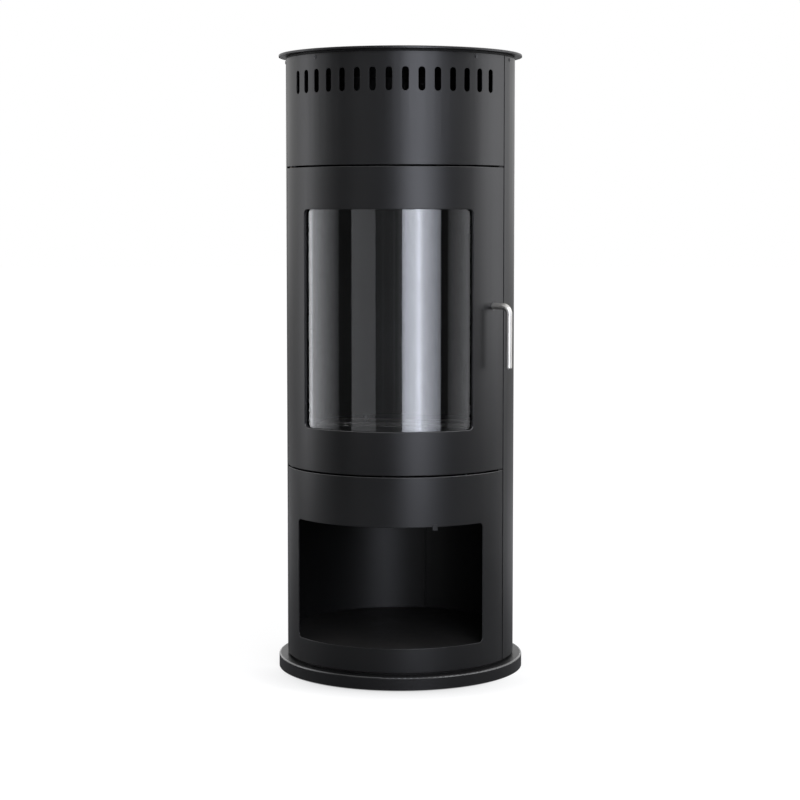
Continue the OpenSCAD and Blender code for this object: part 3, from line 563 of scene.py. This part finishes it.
def stove_black_steel():
    """Heat-proof black on the inner sheets, rougher than the coating and a little dusty."""
    material, tree, shader, lay = start_finish("stove_black_steel", Specular_IOR_Level=0.14)
    skin = use(tree, lay, "paint_skin", Grain=700, Cloud=16)
    dust = use(tree, lay, "settled_dust", Speck=90, Amount=0.06)
    base = tint(tree, skin.outputs["Sheen"], (0.005, 0.005, 0.005), (0.009, 0.0086, 0.0082))
    dusty = tint(tree, dust.outputs["Dust"], (0, 0, 0), (0.12, 0.115, 0.105))
    tree.links.new(base.outputs["Result"], dusty.inputs["A"])
    tree.links.new(dusty.outputs["Result"], shader.inputs["Base Color"])
    span(tree, skin.outputs["Sheen"], 0.5, 0.62, shader.inputs["Roughness"])
    raise_bump(tree, skin.outputs["Height"], shader, 0.00004)
    return material


def black_rubber():
    """Matt rubber of the feet."""
    material, tree, shader, lay = start_finish("black_rubber")
    skin = use(tree, lay, "paint_skin", Grain=1500, Cloud=60)
    colour = tint(tree, skin.outputs["Sheen"], (0.013, 0.013, 0.013), (0.022, 0.022, 0.022))
    tree.links.new(colour.outputs["Result"], shader.inputs["Base Color"])
    span(tree, skin.outputs["Height"], 0.75, 0.9, shader.inputs["Roughness"])
    raise_bump(tree, skin.outputs["Height"], shader, 0.00008)
    return material


def metal(name, dark, light, rough, stretch=(1, 1, 1), lines=1400, turned=0.0):
    """A bare metal with brush lines, or a plated one with hardly any."""
    material, tree, shader, lay = start_finish(name, stretch, Metallic=1.0, Anisotropic=turned)
    brush = use(tree, lay, "brush_lines", Lines=lines, Bands=lines / 9)
    colour = tint(tree, brush.outputs["Streak"], dark, light)
    tree.links.new(colour.outputs["Result"], shader.inputs["Base Color"])
    span(tree, brush.outputs["Streak"], *rough, shader.inputs["Roughness"], 0.4, 1.2)
    raise_bump(tree, brush.outputs["Height"], shader, 0.000006)
    return material


def clear_window_glass():
    """The window's curved glass, faintly smoked so that the firebox stays dim."""
    material, tree, shader, lay = start_finish("clear_window_glass", Metallic=0.0, IOR=1.53)
    shader.inputs["Transmission Weight"].default_value = 1.0
    skin = use(tree, lay, "paint_skin", Grain=35, Cloud=12)
    colour = tint(tree, skin.outputs["Sheen"], (0.70, 0.72, 0.73), (0.76, 0.78, 0.79))
    tree.links.new(colour.outputs["Result"], shader.inputs["Base Color"])
    span(tree, skin.outputs["Sheen"], 0.0, 0.02, shader.inputs["Roughness"])
    return material


def braided_gasket():
    """The black glass-fibre cord round the window."""
    material, tree, shader, lay = start_finish("braided_gasket")
    yarn = use(tree, lay, "braided_yarn", Yarns=180)
    # darker between the yarns: painted shade
    colour = tint(tree, yarn.outputs["Gap"], (0.008, 0.008, 0.008), (0.002, 0.002, 0.002))
    tree.links.new(colour.outputs["Result"], shader.inputs["Base Color"])
    span(tree, yarn.outputs["Gap"], 0.8, 0.95, shader.inputs["Roughness"])
    raise_bump(tree, yarn.outputs["Height"], shader, 0.0003)
    return material


def moulded_black_plastic():
    """Moulded plastic of the handle's bush and the lid's knob."""
    material, tree, shader, lay = start_finish("moulded_black_plastic")
    skin = use(tree, lay, "paint_skin", Grain=1800, Cloud=40)
    colour = tint(tree, skin.outputs["Sheen"], (0.012, 0.012, 0.012), (0.018, 0.018, 0.019))
    tree.links.new(colour.outputs["Result"], shader.inputs["Base Color"])
    span(tree, skin.outputs["Height"], 0.42, 0.52, shader.inputs["Roughness"])
    raise_bump(tree, skin.outputs["Height"], shader, 0.00003)
    return material


def blackened_screws():
    """Black oxide on screws and rivets; on the hinge pins the same dark finish is painted shade in
    the seam.
    """
    material, tree, shader, lay = start_finish("blackened_screws", Metallic=0.7)
    skin = use(tree, lay, "paint_skin", Grain=2200, Cloud=150)
    colour = tint(tree, skin.outputs["Sheen"], (0.035, 0.035, 0.037), (0.06, 0.06, 0.062))
    tree.links.new(colour.outputs["Result"], shader.inputs["Base Color"])
    span(tree, skin.outputs["Height"], 0.3, 0.42, shader.inputs["Roughness"])
    raise_bump(tree, skin.outputs["Height"], shader, 0.00001)
    return material


def white_ceramic_fibre():
    """The burner's firm mineral wool."""
    material, tree, shader, lay = start_finish("white_ceramic_fibre", Sheen_Weight=0.3)
    fibre = use(tree, lay, "matted_fibres", Fibre=650, Lump=60)
    colour = tint(tree, fibre.outputs["Shade"], (0.55, 0.53, 0.49), (0.88, 0.87, 0.84))
    tree.links.new(colour.outputs["Result"], shader.inputs["Base Color"])
    span(tree, fibre.outputs["Shade"], 0.85, 1.0, shader.inputs["Roughness"])
    raise_bump(tree, fibre.outputs["Height"], shader, 0.0008)
    return material


FINISHES = {
    "body_coating": satin_black_coating(),
    "inner_black_steel": stove_black_steel(),
    "foot_rubber": black_rubber(),
    "plated_steel": metal("zinc_plated_steel", (0.42, 0.43, 0.45), (0.6, 0.61, 0.63),
                          (0.3, 0.42), lines=500),
    "spring_steel": metal("spring_steel", (0.28, 0.28, 0.29), (0.42, 0.42, 0.43),
                          (0.28, 0.38), (1, 1, 0.05)),
    # the hinge washers' bronze: its own oiled brown, darkened further as painted shade in the hinge
    # gap
    "brass_bearing": metal("oiled_and_shaded_bronze", (0.03, 0.02, 0.011), (0.07, 0.047, 0.025),
                           (0.45, 0.55), lines=700),
    "window_glass": clear_window_glass(),
    "gasket_cord": braided_gasket(),
    "black_plastic": moulded_black_plastic(),
    # the burner's steel: its own heat stain, darkened further as painted shade of the firebox
    "brushed_stainless": metal("stained_and_shaded_stainless", (0.09, 0.084, 0.078),
                               (0.15, 0.141, 0.132), (0.4, 0.5), (0.02, 1, 1), turned=0.5),
    "ceramic_wool": white_ceramic_fibre(),
    "black_hardware": blackened_screws(),
}
PAINTED_HIGHLIGHT_EDGE = highlight_painted_edge_coating()
BASE_COATING = satin_black_coating("base_disc_coating", BASE_RIM_RADIUS)
HANDLE_STEEL = metal("brushed_handle_steel", (0.42, 0.41, 0.39), (0.54, 0.53, 0.5),
                     (0.4, 0.48), (1, 1, 0.03))
OWN_FINISHES = {
    "tool_clip": FINISHES["body_coating"],
    "glass_clips": FINISHES["body_coating"],
    # the hinge pins, plated in the frame, take the blackened finish as painted shade in the seam
    "hinge_pins": FINISHES["black_hardware"],
    "base_pan": BASE_COATING,
}


def finish_nodes():
    """Every node of the frame takes the finish of its own slot, or its own one."""
    for node in nodes.values():
        for slot in node.material_slots:
            slot.material = FINISHES[slot.material.name.split(".")[0]]
    for name, finish in OWN_FINISHES.items():
        for slot in nodes[name].material_slots:
            slot.material = finish


# ---------------------------------------------------------------- pieces

BODY_NODES = {
    "door": ("door_panel", "window_glass", "glass_gasket", "glass_clips", "clip_studs",
             "clip_nuts", "hinge_bushes", "handle_bush"),
    "handle": ("door_handle", "latch_tongue", "shaft_nut"),
    "burner": ("burner_tank", "burner_plate", "ceramic_wool", "lid_guides"),
    "lid": ("burner_lid", "lid_knob"),
}


def body_of(node_name):
    """The body that a node rides on; the stove's are all that no moving body has."""
    for body, names in BODY_NODES.items():
        if node_name in names:
            return body
    return "stove"


def only(piece):
    """The piece alone is selected and active."""
    bpy.ops.object.select_all(action="DESELECT")
    piece.select_set(True)
    bpy.context.view_layer.objects.active = piece


def hand_over(piece, node_name):
    """The piece takes the node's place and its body."""
    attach(piece, body_of(node_name))
    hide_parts(node_name)


def ease_edges(node_name, name, slot, radius, rounds=2, finish=None, edge=None, above=0.0):
    """A copy of a node with its sharp edges rounded as a real edge is.

    The edge finish stays on what faces up above the given height, as a painted highlight where
    light from above catches the edge."""
    piece = bpy.data.objects.new(name, nodes[node_name].data.copy())
    bpy.context.scene.collection.objects.link(piece)
    only(piece)
    bpy.ops.object.mode_set(mode="EDIT")
    bpy.ops.mesh.select_all(action="SELECT")
    bpy.ops.mesh.remove_doubles(threshold=0.00001)
    bpy.ops.mesh.customdata_custom_splitnormals_clear()
    bpy.ops.mesh.dissolve_limited(angle_limit=math.radians(0.3))
    bpy.ops.object.mode_set(mode="OBJECT")
    bpy.ops.object.shade_smooth()
    piece.data.materials.clear()
    piece.data.materials.append(finish or FINISHES[slot])
    if edge:
        piece.data.materials.append(edge)
    bevel = piece.modifiers.new("eased_edge", "BEVEL")
    bevel.width = radius
    bevel.segments = rounds
    bevel.limit_method = "ANGLE"
    bevel.angle_limit = math.radians(SHARP)
    bevel.use_clamp_overlap = False
    bevel.material = 1 if edge else -1
    bpy.ops.object.modifier_apply(modifier=bevel.name)
    # only up-facing edges keep the paler, glossier finish: painted highlight
    for face in piece.data.polygons:
        if face.normal.z < FACES_UP or face.center.z < above:
            face.material_index = 0
    weigh = piece.modifiers.new("true_faces", "WEIGHTED_NORMAL")
    weigh.weight = 80
    bpy.ops.object.modifier_apply(modifier=weigh.name)
    hand_over(piece, node_name)


def make_wool_pad():
    """The mineral wool that soaks up the fuel: a soft block, crowned and lumpy on top."""
    low, high = (Vector(corner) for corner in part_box("ceramic_wool"))
    size = high - low
    bpy.ops.object.select_all(action="DESELECT")
    bpy.ops.mesh.primitive_cube_add(size=1, location=(low + high) / 2, scale=size)
    pad = bpy.context.object
    pad.name = "wool_pad"
    bpy.ops.object.transform_apply(location=True, rotation=True, scale=True)
    bpy.ops.object.mode_set(mode="EDIT")
    bpy.ops.mesh.select_all(action="SELECT")
    bpy.ops.mesh.bevel(offset=WOOL_EDGE, segments=3)
    bpy.ops.mesh.subdivide(number_cuts=3)
    bpy.ops.mesh.subdivide(number_cuts=3)
    bpy.ops.object.mode_set(mode="OBJECT")
    middle = (low + high) / 2
    for point in pad.data.vertices:
        away = point.co - middle
        rise = noise.fractal(point.co * 70, 0.8, 2.0, 4) * 0.5 + 0.5
        side = max(abs(away.x) * 2 / size.x, abs(away.y) * 2 / size.y)
        if away.z > 0:
            slump = WOOL_SLUMP * max(0.0, side - 0.75) / 0.25
            sink = WOOL_SETTLE + WOOL_LUMP * rise + slump
            point.co.z -= sink * away.z * 2 / size.z
        point.co.x -= math.copysign(WOOL_NAP * rise, away.x)
        point.co.y -= math.copysign(WOOL_NAP * rise, away.y)
    bpy.ops.object.shade_smooth()
    pad.data.materials.append(FINISHES["ceramic_wool"])
    hand_over(pad, "ceramic_wool")


place_camera()
light_studio()
lay_floor()
finish_nodes()

ease_edges("left_shell", "left_body_shell", "body_coating", FOLDED_EDGE)
ease_edges("right_shell", "right_body_shell", "body_coating", FOLDED_EDGE)
ease_edges("lower_front_panel", "compartment_front", "body_coating", SHEET_EDGE, 3,
           edge=PAINTED_HIGHLIGHT_EDGE, above=COMPARTMENT_TOP)
ease_edges("upper_front_panel", "vented_front", "body_coating", SLOT_EDGE)
ease_edges("door_panel", "door_sheet", "body_coating", SHEET_EDGE, 3, edge=PAINTED_HIGHLIGHT_EDGE)
ease_edges("door_handle", "bent_bar_handle", "brushed_stainless", BAR_EDGE, 3, HANDLE_STEEL)
ease_edges("glass_gasket", "window_rope_seal", "gasket_cord", BAR_EDGE, 3)
ease_edges("foot_pads", "rubber_foot_pads", "foot_rubber", RUBBER_EDGE)
make_wool_pad()
